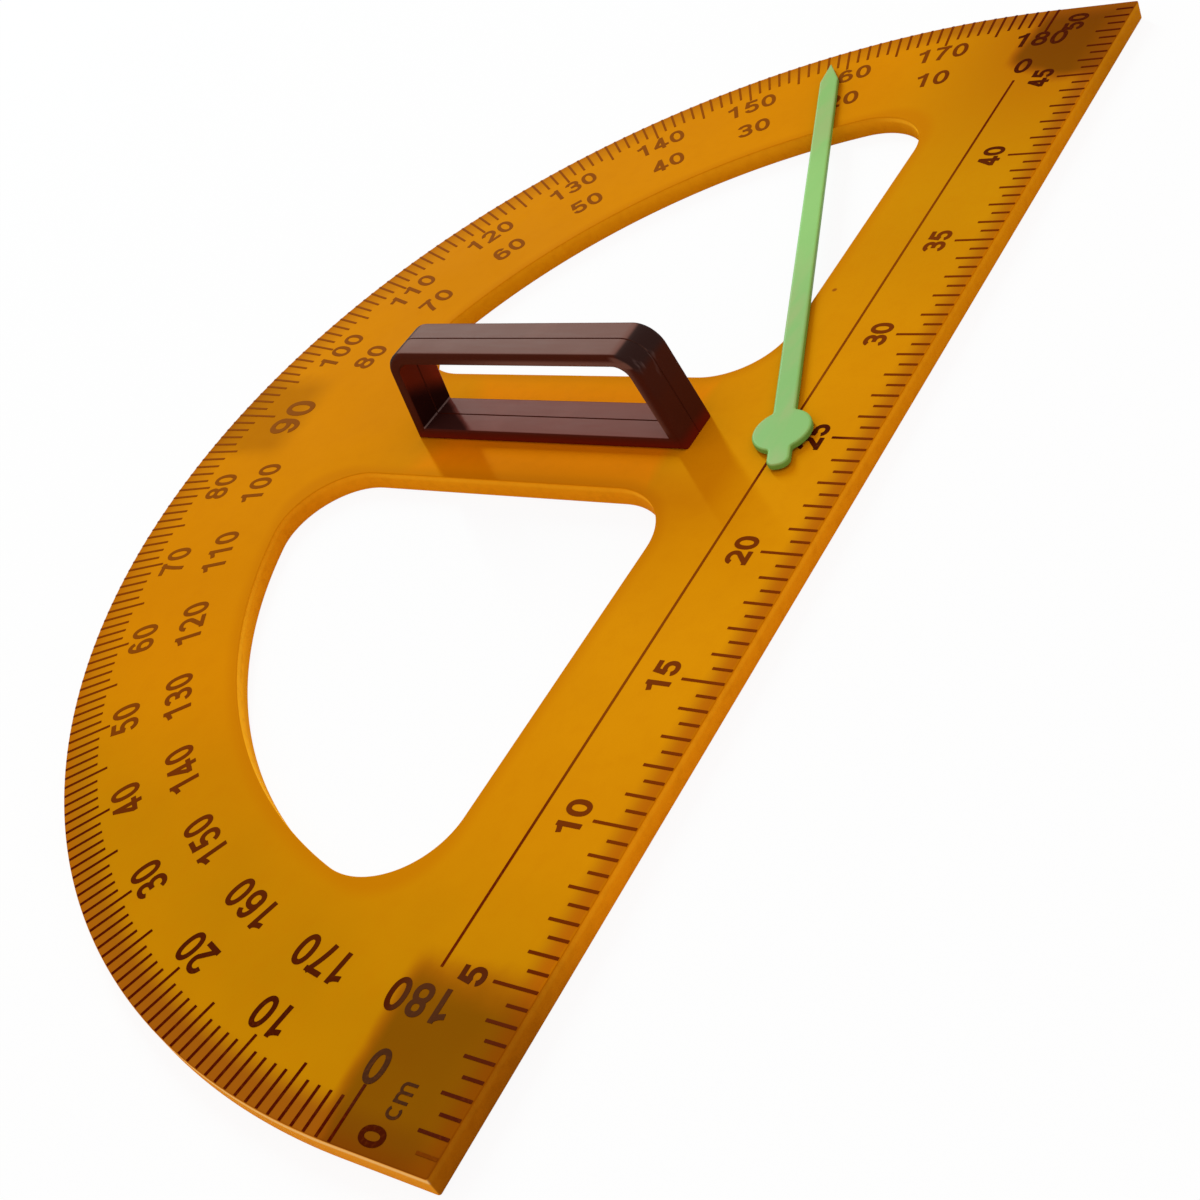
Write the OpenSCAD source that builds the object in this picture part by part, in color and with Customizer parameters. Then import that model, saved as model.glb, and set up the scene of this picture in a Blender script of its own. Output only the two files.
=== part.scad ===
// Board protractor: an amber half-disc plate with printed scales, two windows,
// a carrying handle in two halves, a swinging pointer and magnets let into its back.
// The origin is the vertex on the back face. X runs along the base line towards the
// 50 cm end, Y points to the 90 degree mark and Z points out of the printed face.

/* [Board] */
// Radius of the half disc, which is half the ruler's length
board_r = 250; // [220:5:280]
// Thickness of the plate
board_t = 7.2; // [6:0.1:9]
// Width of the straight band below the base line
band_w = 31.4; // [28:0.1:40]

/* [Windows] */
// Width of the curved rim outside the windows
rim_w = 61; // [50:1:70]
// Width of the web between the windows
web_w = 55; // [45:1:70]
// Distance from the base line to the windows
sill_w = 23; // [18:0.5:30]
// Corner radius of the windows
window_corner_r = 25; // [10:1:30]

/* [Scales] */
// Width of a scale mark
mark_w = 0.9; // [0.5:0.1:1.2]
// Thickness of the printed ink
ink_t = 0.12; // [0.1:0.02:0.2]
// Gap between the rim's edge and the degree marks
degree_margin = 0.3; // [0.2:0.1:2]
// Length of a one degree mark
degree_mark = 11.5; // [8:0.5:13]
// Length of a five degree mark
five_degree_mark = 15; // [12:0.5:18]
// Length of the marks at 0 and 180 degrees
end_mark = 15.6; // [14:0.1:20]
// Length of the mark at 90 degrees
square_mark = 19.5; // [16:0.5:24]
// Gap between the chord's edge and the ruler marks
ruler_margin = 0.4; // [0.3:0.1:3]
// Length of a half centimetre mark
half_cm_mark = 6.5; // [4:0.5:8]
// Length of a centimetre mark
cm_mark = 9.5; // [7:0.5:12]
// Length of a five centimetre mark
five_cm_mark = 14; // [11:0.5:16]
// Width of the base line
base_line_w = 0.8; // [0.5:0.1:1.2]
// Distance from the rim's edge to the ends of the base line
base_line_setback = 50; // [35:1:70]

/* [Handle] */
// Length of the handle along its foot
handle_l = 116; // [100:1:130]
// Width of the handle
handle_w = 18; // [16:0.5:24]
// Height of the handle above the board
handle_h = 38; // [32:0.5:50]
// Distance from the vertex to the handle
handle_start = 31.7; // [28:0.1:45]
// Thickness of the legs and the grip bar
grip_t = 4.6; // [4:0.1:6]
// Thickness of the foot bar
foot_t = 4.5; // [4:0.1:6]
// Inward lean of the legs in degrees
leg_lean = 8.5; // [0:0.5:15]
// Outer radius of the top corners
handle_corner_r = 10; // [7:0.5:14]
// Radius of the pegs that locate the halves
peg_r = 1.2; // [0.8:0.1:1.5]
// Length of the pegs
peg_l = 3; // [2:0.5:5]
// Distance between the two pegs in the grip bar
peg_spacing = 50; // [30:1:70]

/* [Handle screws] */
// Radius of the screws' shanks
screw_r = 1.45; // [1.2:0.05:1.6]
// Radius of the screws' heads
screw_head_r = 2.9; // [2.4:0.1:3.4]
// Height of the countersunk heads
screw_head_h = 1.6; // [1.2:0.1:2]
// Depth of the heads below the back face
screw_sink = 0.2; // [0.1:0.1:0.6]
// Length of the screws in the foot bar
screw_bite = 3.2; // [2:0.1:3.4]
// Distance from the handle's ends to the screws
screw_inset = 12; // [9:0.5:30]

/* [Pointer] */
// Width of the pointer's arm
arm_w = 7.5; // [5:0.5:8]
// Thickness of the pointer
pointer_t = 2; // [1.6:0.1:3]
// Radius of the hub disc
hub_r = 9.8; // [8.5:0.1:12]
// Angle at which the pointer rests, from the base line
rest_angle = 21.5; // [0:0.5:60]
// Distance from the rim's edge to the pointer's tip
tip_setback = 11.5; // [5:0.5:25]
// Length of the pointed end
tip_l = 14; // [8:0.5:20]
// Distance from the vertex to the end of the tail
tail_l = 17.3; // [14:0.1:24]
// Corner radius of the tail, where the arm is wide enough for it
tail_corner_r = 3.2; // [1:0.1:3.6]

/* [Pivot] */
// Radius of the boss under the hub disc
boss_r = 4.5; // [4:0.1:5]
// Outer radius of the friction washer
friction_washer_r = 6.5; // [6:0.1:7]
// Thickness of the friction washer
friction_washer_t = 0.8; // [0.5:0.1:1.2]
// Outer radius of the rear washer
pivot_washer_r = 7; // [6:0.1:8]
// Thickness of the rear washer
pivot_washer_t = 0.8; // [0.5:0.1:1]
// Depth of the recess in the back face
pivot_recess = 3.2; // [3:0.1:3.6]
// Radius of the pivot screw's shank
pivot_screw_r = 1.45; // [1.2:0.05:1.8]
// Radius of the pivot screw's head
pivot_head_r = 2.8; // [2.4:0.1:3.4]
// Height of the pivot screw's head
pivot_head_h = 1.6; // [1.2:0.1:1.8]
// Plastic left over the end of the pivot screw's hole
boss_skin = 1.2; // [0.8:0.1:1.5]

/* [Magnets] */
// Length of a magnet
magnet_l = 45; // [35:1:50]
// Width of a magnet
magnet_w = 34; // [28:1:40]
// Thickness of a magnet
magnet_t = 3; // [2:0.1:3.6]
// Thickness of the adhesive pad above a magnet
pad_t = 0.3; // [0.2:0.1:0.6]
// Distance from the board's edges to the magnets
magnet_margin = 3; // [2:0.5:8]

/* [Clearances] */
// Radial clearance of the boss in its bore
running_clearance = 0.05; // [0.02:0.01:0.1]
// Play of the pointer along its axis
end_play = 0.2; // [0.1:0.05:0.4]
// Clearance around screws and washers and past the ends of pegs
loose_clearance = 0.15; // [0.05:0.05:0.25]
// Clearance around the magnets in their pockets
pocket_clearance = 0.2; // [0.1:0.05:0.5]

/* [Hidden] */
$fn = 128;

amber = [0.85, 0.54, 0.02];
ink_brown = [0.30, 0.13, 0.03];
handle_brown = [0.26, 0.12, 0.10];
pointer_green = [0.56, 0.77, 0.50];
magnet_grey = [0.16, 0.15, 0.15];
pad_white = [0.85, 0.84, 0.80];
steel_grey = [0.70, 0.71, 0.72];
nylon_white = [0.88, 0.87, 0.83];

// Overshoot of a cut past the face that it opens
cut_over = 1;

// Overlap with which a window's corner arcs cross its outer arc, where they would only touch
arc_overlap = 0.02;

// Corner centres of the right window's rounded outline
window_r = board_r - rim_w;
inset_x = web_w / 2 + window_corner_r;
inset_y = sill_w + window_corner_r;
inset_r = window_r - window_corner_r + arc_overlap;
inner_corner = [inset_x, inset_y];
outer_corner = [sqrt(inset_r ^ 2 - inset_y ^ 2), inset_y];
upper_corner = [inset_x, sqrt(inset_r ^ 2 - inset_x ^ 2)];

// Ruler steps of half a centimetre along the chord
half_cm = 5;
ruler_steps = floor(2 * board_r / half_cm);

// Handle outline in its own frame, with the foot's centre on the board as origin
handle_centre = handle_start + handle_l / 2;
corner_z = handle_h - handle_corner_r;
corner_y = handle_l / 2 - (handle_corner_r + corner_z * sin(leg_lean)) / cos(leg_lean);
grip_inner_r = handle_corner_r - grip_t;
grip_foot_y = handle_l / 2 - (grip_t + foot_t * sin(leg_lean)) / cos(leg_lean);
screw_x = handle_w / 4;
screw_y = handle_l / 2 - screw_inset;

// Heights of the pivot's pieces above the back face
boss_z = pivot_recess - end_play;
hub_z = board_t + friction_washer_t;
pivot_hole_top = hub_z + pointer_t - boss_skin;
pivot_head_z = boss_z - pivot_washer_t - pivot_head_h;
arm_l = board_r - tip_setback;

// Least half width of the flat end between the tail's corners
tail_flat = 0.2;

// Magnets sit in pockets, long side along X at the chord's ends and under the 90 degree mark
magnet_side_x = board_r - magnet_margin - magnet_l / 2;
magnet_side_y = magnet_margin - band_w + magnet_w / 2;
magnet_top_y = sqrt((board_r - magnet_margin) ^ 2 - (magnet_l / 2) ^ 2) - magnet_w / 2;
magnet_left_at = [-magnet_side_x, magnet_side_y];
magnet_right_at = [magnet_side_x, magnet_side_y];
magnet_top_at = [0, magnet_top_y];

// Outline of the right window: straight edges and an arc with rounded corners
module window_outline() {
    for (corner = [inner_corner, outer_corner, upper_corner])
        translate(corner) circle(window_corner_r);
    intersection() {
        circle(window_r);
        polygon([inner_corner, outer_corner, 2 * outer_corner, 2 * upper_corner, upper_corner]);
    }
    translate([inset_x, sill_w])
        square([outer_corner[0] - inset_x, window_corner_r]);
    translate([web_w / 2, inset_y])
        square([window_corner_r, upper_corner[1] - inset_y]);
}

// Half disc above the base line and straight band below it
module board_outline() {
    intersection() {
        circle(board_r);
        translate([-board_r, 0]) square([2 * board_r, board_r]);
    }
    translate([-board_r, -band_w]) square([2 * board_r, band_w]);
}

// Places its children at the four handle screws, on the back face
module at_handle_screws() {
    for (x = [-screw_x, screw_x], y = [-screw_y, screw_y])
        translate([x, handle_centre + y, 0]) children();
}

// Hole through the board for a handle screw, with a countersink for its head
module screw_hole() {
    shank_r = screw_r + loose_clearance;
    head_r = screw_head_r + loose_clearance;
    hole_top = board_t + cut_over;
    rotate_extrude()
        polygon([
            [0, -cut_over],
            [head_r, -cut_over],
            [head_r, screw_sink],
            [shank_r, screw_sink + screw_head_h],
            [shank_r, hole_top],
            [0, hole_top]
        ]);
}

// Cross recess that a driver turns, cut from below
module cross_recess(head_r) {
    slot_l = 1.3 * head_r;
    slot_w = 0.3 * head_r;
    slot_depth = 0.3 * head_r;
    for (turn = [0, 90])
        rotate([0, 0, turn])
            translate([-slot_l / 2, -slot_w / 2, -cut_over])
                cube([slot_l, slot_w, slot_depth + cut_over]);
}

// Plate as long and wide as a magnet, grown on every side
module magnet_plate(at, z, t, grow) {
    length = magnet_l + 2 * grow;
    width = magnet_w + 2 * grow;
    translate([at[0] - length / 2, at[1] - width / 2, z])
        cube([length, width, t]);
}

module board() {
    color(amber)
    difference() {
        linear_extrude(board_t) difference() {
            board_outline();
            window_outline();
            mirror([1, 0]) window_outline();
        }
        translate([0, 0, -cut_over])
            cylinder(r = boss_r + running_clearance, h = board_t + 2 * cut_over);
        translate([0, 0, -cut_over])
            cylinder(r = pivot_washer_r + loose_clearance, h = pivot_recess + cut_over);
        at_handle_screws() screw_hole();
        for (at = [magnet_left_at, magnet_right_at, magnet_top_at])
            magnet_plate(at, -cut_over, magnet_t + pad_t + cut_over, pocket_clearance);
    }
}

function degree_mark_length(degree) =
    degree == 90 ? square_mark :
    degree % 180 == 0 ? end_mark :
    degree % 5 == 0 ? five_degree_mark : degree_mark;

// Marks at every degree, running in from the rim
module degree_scale() {
    color(ink_brown)
    for (degree = [0 : 180]) {
        mark_l = degree_mark_length(degree);
        rotate([0, 0, 180 - degree])
            translate([board_r - degree_margin - mark_l, -mark_w / 2, board_t])
                cube([mark_l, mark_w, ink_t]);
    }
}

function ruler_mark_length(step) =
    step % 10 == 0 ? five_cm_mark :
    step % 2 == 0 ? cm_mark : half_cm_mark;

// Marks at every half centimetre, between the two corners of the chord
module ruler_scale() {
    color(ink_brown)
    for (step = [1 : ruler_steps - 1])
        translate([step * half_cm - board_r - mark_w / 2, ruler_margin - band_w, board_t])
            cube([mark_w, ruler_mark_length(step), ink_t]);
}

// Zero line through the vertex, broken where the friction washer sits
module base_line() {
    line_start = friction_washer_r + loose_clearance;
    line_l = board_r - base_line_setback - line_start;
    color(ink_brown)
    for (turn = [0, 180])
        rotate([0, 0, turn])
            translate([line_start, -base_line_w / 2, board_t])
                cube([line_l, base_line_w, ink_t]);
}

// Trapezium with rounded top corners, as [distance along the foot, height]
module handle_profile(foot_y, foot_z, corner_r) {
    side_y = corner_y + corner_r * cos(leg_lean);
    side_z = corner_z + corner_r * sin(leg_lean);
    top_z = corner_z + corner_r;
    polygon([
        [-foot_y, foot_z],
        [foot_y, foot_z],
        [side_y, side_z],
        [corner_y, top_z],
        [-corner_y, top_z],
        [-side_y, side_z]
    ]);
    for (side = [-1, 1])
        translate([side * corner_y, corner_z]) circle(corner_r);
}

// Half of the closed handle ring on the +X side of the seam, without holes
module handle_half() {
    rotate([90, 0, 90])
        linear_extrude(handle_w / 2)
            difference() {
                handle_profile(handle_l / 2, 0, handle_corner_r);
                handle_profile(grip_foot_y, foot_t, grip_inner_r);
            }
}

// Places its children at the pegs, pointing across the seam
module at_pegs() {
    for (y = [-peg_spacing / 2, peg_spacing / 2])
        translate([0, y, handle_h - grip_t / 2]) rotate([0, 90, 0]) children();
    translate([0, 0, foot_t / 2]) rotate([0, 90, 0]) children();
}

// Blind holes in the foot bar for the handle screws
module screw_holes() {
    for (x = [-screw_x, screw_x], y = [-screw_y, screw_y])
        translate([x, y, -cut_over])
            cylinder(r = screw_r + running_clearance, h = screw_bite + cut_over + loose_clearance);
}

// Puts a handle half on the printed face, between the windows
module on_web() {
    translate([0, handle_centre, board_t]) children();
}

module handle_left() {
    color(handle_brown)
    on_web() {
        difference() {
            mirror([1, 0, 0]) handle_half();
            screw_holes();
        }
        at_pegs() translate([0, 0, -peg_l]) cylinder(r = peg_r, h = 2 * peg_l);
    }
}

module handle_right() {
    color(handle_brown)
    on_web() difference() {
        handle_half();
        screw_holes();
        at_pegs()
            translate([0, 0, -cut_over])
                cylinder(r = peg_r + running_clearance, h = peg_l + loose_clearance + cut_over);
    }
}

// Four countersunk screws from the back face into the foot bar
module handle_screws() {
    color(steel_grey)
    at_handle_screws()
        translate([0, 0, screw_sink])
            difference() {
                union() {
                    cylinder(r = screw_r, h = board_t + screw_bite - screw_sink);
                    cylinder(r1 = screw_head_r, r2 = screw_r, h = screw_head_h);
                }
                cross_recess(screw_head_r);
            }
}

// Arm with a pointed end and a tail with rounded corners, along +X
module arm_outline() {
    tail_round = min(tail_corner_r, arm_w / 2 - tail_flat);
    tail_inset = tail_l - tail_round;
    corner_offset = arm_w / 2 - tail_round;
    polygon([
        [-tail_inset, -arm_w / 2],
        [arm_l - tip_l, -arm_w / 2],
        [arm_l, 0],
        [arm_l - tip_l, arm_w / 2],
        [-tail_inset, arm_w / 2]
    ]);
    for (side = [-1, 1])
        translate([-tail_inset, side * corner_offset]) circle(tail_round);
    translate([-tail_l, -corner_offset]) square([tail_round, 2 * corner_offset]);
}

module pointer() {
    color(pointer_green)
    rotate([0, 0, rest_angle])
        difference() {
            union() {
                translate([0, 0, hub_z]) linear_extrude(pointer_t) arm_outline();
                translate([0, 0, hub_z]) cylinder(r = hub_r, h = pointer_t);
                translate([0, 0, boss_z]) cylinder(r = boss_r, h = hub_z - boss_z + pointer_t / 2);
            }
            translate([0, 0, boss_z - cut_over])
                cylinder(r = pivot_screw_r + running_clearance, h = pivot_hole_top - boss_z + cut_over);
        }
}

// Ring about the pivot axis
module washer(outer_r, inner_r, z, t) {
    translate([0, 0, z])
        difference() {
            cylinder(r = outer_r, h = t);
            translate([0, 0, -cut_over]) cylinder(r = inner_r, h = t + 2 * cut_over);
        }
}

module friction_washer() {
    color(nylon_white)
    washer(friction_washer_r, boss_r + running_clearance + loose_clearance, board_t, friction_washer_t);
}

module pivot_washer() {
    color(steel_grey)
    washer(pivot_washer_r, pivot_screw_r + loose_clearance, boss_z - pivot_washer_t, pivot_washer_t);
}

module pivot_screw() {
    color(steel_grey)
    translate([0, 0, pivot_head_z])
        difference() {
            union() {
                cylinder(r = pivot_head_r, h = pivot_head_h);
                cylinder(r = pivot_screw_r, h = pivot_hole_top - pivot_head_z - loose_clearance);
            }
            cross_recess(pivot_head_r);
        }
}

module magnet(at) {
    color(magnet_grey) magnet_plate(at, 0, magnet_t, 0);
}

module magnet_pad(at) {
    color(pad_white) magnet_plate(at, magnet_t, pad_t, -pocket_clearance);
}

board();
degree_scale();
ruler_scale();
base_line();
handle_left();
handle_right();
handle_screws();
pointer();
friction_washer();
pivot_washer();
pivot_screw();
magnet(magnet_left_at);  // magnet_left
magnet(magnet_right_at);  // magnet_right
magnet(magnet_top_at);  // magnet_top
magnet_pad(magnet_left_at);  // magnet_pad_left
magnet_pad(magnet_right_at);  // magnet_pad_right
magnet_pad(magnet_top_at);  // magnet_pad_top
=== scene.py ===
import math

import bmesh
import bpy
from bpy.props import FloatProperty, FloatVectorProperty, PointerProperty
from mathutils import Matrix, Vector
from mathutils.geometry import delaunay_2d_cdt


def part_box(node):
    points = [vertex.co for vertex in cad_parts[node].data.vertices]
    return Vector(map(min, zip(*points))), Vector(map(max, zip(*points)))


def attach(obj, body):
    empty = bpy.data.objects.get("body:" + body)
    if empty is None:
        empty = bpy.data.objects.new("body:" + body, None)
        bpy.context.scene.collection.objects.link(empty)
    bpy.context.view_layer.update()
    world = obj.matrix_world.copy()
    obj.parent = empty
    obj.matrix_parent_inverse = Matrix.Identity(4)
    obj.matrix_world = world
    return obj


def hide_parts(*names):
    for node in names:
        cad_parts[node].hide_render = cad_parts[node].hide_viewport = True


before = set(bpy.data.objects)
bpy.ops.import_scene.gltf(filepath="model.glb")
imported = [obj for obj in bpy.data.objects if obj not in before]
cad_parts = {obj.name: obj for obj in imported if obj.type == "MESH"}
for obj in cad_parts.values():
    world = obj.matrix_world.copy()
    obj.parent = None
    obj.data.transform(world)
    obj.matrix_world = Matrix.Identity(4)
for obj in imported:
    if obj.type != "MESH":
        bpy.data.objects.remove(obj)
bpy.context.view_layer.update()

bl_info = {
    "name": "Board protractor",
    "version": (1, 0, 0),
    "blender": (4, 5, 0),
    "location": "View3D > Sidebar > Protractor",
    "description": "Dresses the solid model of an amber board protractor",
    "category": "Object",
}

MM = 0.001
BOARD_LOW, BOARD_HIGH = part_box("board")


# Property helpers

def length(name, description, millimetres):
    """A length property whose default is given in millimetres."""
    return FloatProperty(name=name, description=description, default=millimetres * MM, unit="LENGTH")


def number(name, description, value):
    """A plain number property."""
    return FloatProperty(name=name, description=description, default=value)


def angle(name, description, degrees):
    """An angle property whose default is given in degrees."""
    return FloatProperty(name=name, description=description, default=math.radians(degrees), subtype="ANGLE")


def linear(channel):
    """One display value from 0 to 255 as scene-linear light."""
    share = channel / 255
    return share / 12.92 if share <= 0.04045 else ((share + 0.055) / 1.055) ** 2.4


def colour(name, description, red, green, blue):
    """A colour property whose default is given as display values from 0 to 255."""
    return FloatVectorProperty(
        name=name, description=description, subtype="COLOR", size=3, min=0, max=1,
        default=(linear(red), linear(green), linear(blue)))


class PlateSettings(bpy.types.PropertyGroup):
    """Sizes and colours of the amber plate."""
    rim_width: length("Rim width", "Width of the curved rim outside the windows", 61)
    web_width: length("Web width", "Width of the web between the windows", 55)
    sill: length("Sill", "Distance from the base line to the windows", 23)
    window_corner: length("Window corner", "Corner radius of the windows", 25)
    chord_corner: length("Chord corner", "Radius of the two corners of the chord", 0.8)
    edge_round: length("Edge round", "Radius of the plate's edges", 0.45)
    bore: length("Bore", "Radius of the pointer's bore", 4.55)
    recess: length("Recess", "Radius of the rear recess round the pivot", 7.15)
    recess_depth: length("Recess depth", "Depth of the rear recess", 3.2)
    screw_hole: length("Screw hole", "Radius of the handle screws' holes", 1.6)
    countersink: length("Countersink", "Radius of the countersinks", 3.05)
    countersink_start: length("Countersink start", "Depth at which the countersinks begin to narrow", 0.2)
    countersink_depth: length("Countersink depth", "Height of the countersinks' cones", 1.6)
    pocket_clearance: length("Pocket clearance", "Gap between a magnet and its pocket", 0.2)
    # Painted shade: the faces are painted darker within this band beside the edges.
    edge_band: length("Edge band", "Width of the darker band beside the edges", 6)
    scale_band: length("Scale band", "Width of the browner band under the marks", 13)
    amber: colour("Amber", "Colour of the face", 214, 134, 1)
    amber_ruler: colour("Ruler amber", "Colour beside the ruler's middle", 218, 143, 3)
    amber_pale: colour("Pale amber", "Colour towards the ruler's end", 204, 138, 4)
    amber_low: colour("Olive amber", "Colour of the duller end at the ruler's start", 191, 130, 2)
    amber_deep: colour("Deep amber", "Colour of the redder end", 180, 104, 3)
    # Painted light: the web round the handle is painted brighter and redder than the face, for light thrown
    # from the handle and to offset its shade.
    amber_web: colour("Web amber", "Colour of the web round the handle", 238, 136, 2)
    # Painted shade beside the edges and low on the lit walls; the same colour also gives random mottle and
    # blotches.
    amber_edge: colour("Edge amber", "Colour beside the edges", 196, 113, 0)
    amber_marks: colour("Mark amber", "Colour between the marks", 160, 88, 12)
    amber_rust: colour("Rust amber", "Colour between the ruler's first marks", 178, 93, 8)
    # Painted light: the cut walls are painted paler than the face for light that shines through the
    # translucent plate.
    wall: colour("Wall", "Colour of the cut walls", 231, 146, 11)
    # Painted light on the walls that face the key lamp towards the ruler's start and on the walls that face
    # left.
    wall_bright: colour("Bright wall", "Colour of the cut walls at the ruler's start", 255, 179, 24)
    # Painted highlight along the rounded upper edges of the walls.
    crest: colour("Crest", "Colour of the light line along the upper edges", 255, 184, 32)
    # Painted highlight along the walls of the plate's left end.
    crest_pale: colour("Pale crest", "Colour of the light line along the plate's left end", 255, 214, 135)
    speck: FloatVectorProperty(
        name="Speck", description="Place of a dark speck in the plate", size=2, unit="LENGTH",
        default=(74 * MM, 17 * MM))
    # Painted shade: the plate is darkened where the dark magnets behind it show through.
    patch: colour("Patch", "Tint over the magnets", 174, 163, 195)


class PrintSettings(bpy.types.PropertyGroup):
    """Sizes and colours of the printed numbers."""
    film: length("Film", "Thickness of the printed film", 0.1)
    degree_height: length("Degree height", "Height of the degree numbers", 9.8)
    degree_outer: length("Outer ring", "Radius of the middle of the outer degree numbers", 229)
    degree_inner: length("Inner ring", "Radius of the middle of the inner degree numbers", 210)
    square_height: length("Square height", "Height of the number at the square angle", 14)
    square_ring: length("Square ring", "Radius of the middle of the number at the square angle", 220)
    ruler_height: length("Ruler height", "Height of the ruler numbers", 8)
    ruler_line: length("Ruler line", "Distance of the ruler numbers below the base line", 10.6)
    mark_ink: colour("Mark ink", "Colour of the marks", 78, 13, 1)
    mark_worn: colour("Worn mark ink", "Colour of rubbed marks", 121, 49, 1)
    mark_faint: colour("Faint mark ink", "Colour of the faintest marks", 147, 77, 4)
    line_ink: colour("Line ink", "Colour of the base line", 100, 26, 1)
    line_worn: colour("Worn line ink", "Colour of the rubbed base line", 133, 62, 2)
    number_ink: colour("Number ink", "Colour of the numbers", 71, 19, 2)
    number_worn: colour("Worn number ink", "Colour of rubbed numbers", 118, 51, 4)
    number_faint: colour("Faint number ink", "Colour of the faintest numbers", 144, 78, 7)
    veil: colour("Veil", "Grey cast of the print over the magnets", 3, 34, 21)


class HandleSettings(bpy.types.PropertyGroup):
    """Sizes and colours of the handle."""
    leg_thickness: length("Leg thickness", "Thickness of the legs and the grip bar", 4.6)
    foot_thickness: length("Foot thickness", "Thickness of the foot bar", 4.5)
    leg_lean: angle("Leg lean", "Inward lean of the legs", 8.5)
    corner: length("Corner", "Outer radius of the top corners", 10)
    edge_round: length("Edge round", "Radius of the outer edges", 1.6)
    hole_round: length("Inner edge round", "Radius of the edges inside the grip", 1.0)
    seam: length("Seam", "Depth of the groove between the halves", 0.3)
    maroon: colour("Maroon", "Colour of the plastic", 68, 27, 14)
    maroon_worn: colour("Worn maroon", "Colour of rubbed plastic", 76, 32, 18)
    # Partly fading and partly painted sheen: the upper faces of the grip and the foot are painted paler for
    # the key lamp's reflection.
    faded: colour("Faded", "Colour of the bleached grip", 126, 88, 78)
    faded_low: colour("Faded foot", "Colour of the bleached foot", 134, 77, 67)
    # Painted shade: the bends are painted darker, as they face away from the key lamp and reflect dark
    # surroundings.
    bend: colour("Bend", "Colour of the handled bends", 46, 32, 29)
    # Painted highlight along the edges of the left side.
    side_worn: colour("Worn side", "Colour of the rubbed edges of the left side", 124, 88, 74)
    # Painted light: the far leg's inner face is painted redder and lighter where light comes through and from
    # the plate.
    inner_glow: colour("Inner glow", "Colour of the far leg's inner face, lit through", 116, 33, 8)
    # Painted shadow of the far leg on the foot's top and on the lower part of its inner face.
    grime: colour("Grime", "Colour of the grimy far corner", 24, 5, 5)
    # Painted highlights and scuffs: pale streaks on the bends and a pale line where the far leg meets the
    # foot.
    scuff: colour("Scuff", "Colour of small scuffs", 150, 128, 122)
    # Painted light: the plate's amber light on the foot beside it.
    foot_glow: colour("Foot glow", "Colour beside the plate, which shines on it", 108, 24, 6)


class PointerSettings(bpy.types.PropertyGroup):
    """Sizes and colours of the pointer."""
    arm_width: length("Arm width", "Width of the arm", 7.5)
    hub: length("Hub", "Radius of the hub disc", 9.8)
    reach: length("Reach", "Distance from the vertex to the tip", 238.5)
    tip: length("Tip", "Length of the pointed end", 14)
    tail: length("Tail", "Distance from the vertex to the end of the tail", 17.3)
    tail_corner: length("Tail corner", "Corner radius of the tail", 3.2)
    throat: length("Throat", "Fillet radius between the hub and the arm", 1.2)
    rest_angle: angle("Rest angle", "Angle of the arm from the base line", 21.5)
    boss: length("Boss", "Radius of the boss under the hub", 4.5)
    boss_hole: length("Boss hole", "Radius of the screw hole in the boss", 1.5)
    boss_skin: length("Boss skin", "Plastic over the end of the screw hole", 1.2)
    thickness: length("Thickness", "Thickness of the arm", 2)
    edge_round: length("Edge round", "Radius of the upper edges", 0.7)
    green: colour("Green", "Colour of the middle of the arm", 142, 197, 104)
    green_deep: colour("Deep green", "Colour of the hub and the streaks", 133, 183, 96)
    green_faded: colour("Faded green", "Colour of the bleached streaks", 148, 179, 101)
    # Painted shade: the pointer's sides are painted darker green.
    green_side: colour("Side green", "Colour of the pointer's sides", 110, 166, 68)


class HardwareSettings(bpy.types.PropertyGroup):
    """Rounding of the magnets, and colours of the screws, washers, magnets and pads."""
    magnet_corner: length("Magnet corner", "Corner radius of the magnets", 1.2)
    magnet_edge: length("Magnet edge", "Radius of the magnets' edges", 0.3)
    steel: colour("Steel", "Colour of the screws", 198, 198, 200)
    nylon: colour("Nylon", "Colour of the friction washer", 225, 222, 208)
    rubber: colour("Rubber", "Colour of the magnets", 48, 45, 43)
    foam: colour("Foam", "Colour of the adhesive pads", 222, 220, 212)


class StageSettings(bpy.types.PropertyGroup):
    """Camera, lamps and floor."""
    eye: FloatVectorProperty(
        name="Eye", description="Place of the camera", subtype="XYZ", unit="LENGTH",
        default=(-349.0 * MM, -293.5 * MM, 321.6 * MM))
    aim: FloatVectorProperty(
        name="Aim", description="Point in the middle of the lens axis", subtype="XYZ", unit="LENGTH",
        default=(-61.7 * MM, 15.8 * MM, 7.2 * MM))
    roll: angle("Roll", "Lean of the camera to its right", 27.31)
    lens: number("Lens", "Focal length in millimetres on a 36 mm sensor", 53.61)
    shift_x: number("Shift X", "Sideways shift of the lens as a share of the frame", -0.0417)
    shift_y: number("Shift Y", "Upward shift of the lens as a share of the frame", -0.0238)
    key_turn: angle("Key turn", "Direction of the key lamp from the X axis", 49.6)
    key_rise: angle("Key rise", "Height of the key lamp above the floor", 32.4)
    key_share: number("Key share", "Share of the face's light that comes from the key lamp", 0.36)
    key_tone: colour("Key tone", "Colour of the key lamp", 205, 255, 255)
    key_distance: length("Key distance", "Distance of the key lamp", 6000)
    key_width: length("Key width", "Width of the key lamp's strip", 160)
    key_height: length("Key height", "Height of the key lamp's strip", 3000)
    sky: number("Sky", "Strength of the soft light from all round", 0.78)
    sky_tone: colour("Sky tone", "Colour of the soft light", 255, 233, 232)
    floor_size: length("Floor size", "Half width of the floor", 4000)
    floor_glow: number("Floor glow", "Share of the floor that shows as plain white", 0.92)


# Flat outlines and solids made from them

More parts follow.
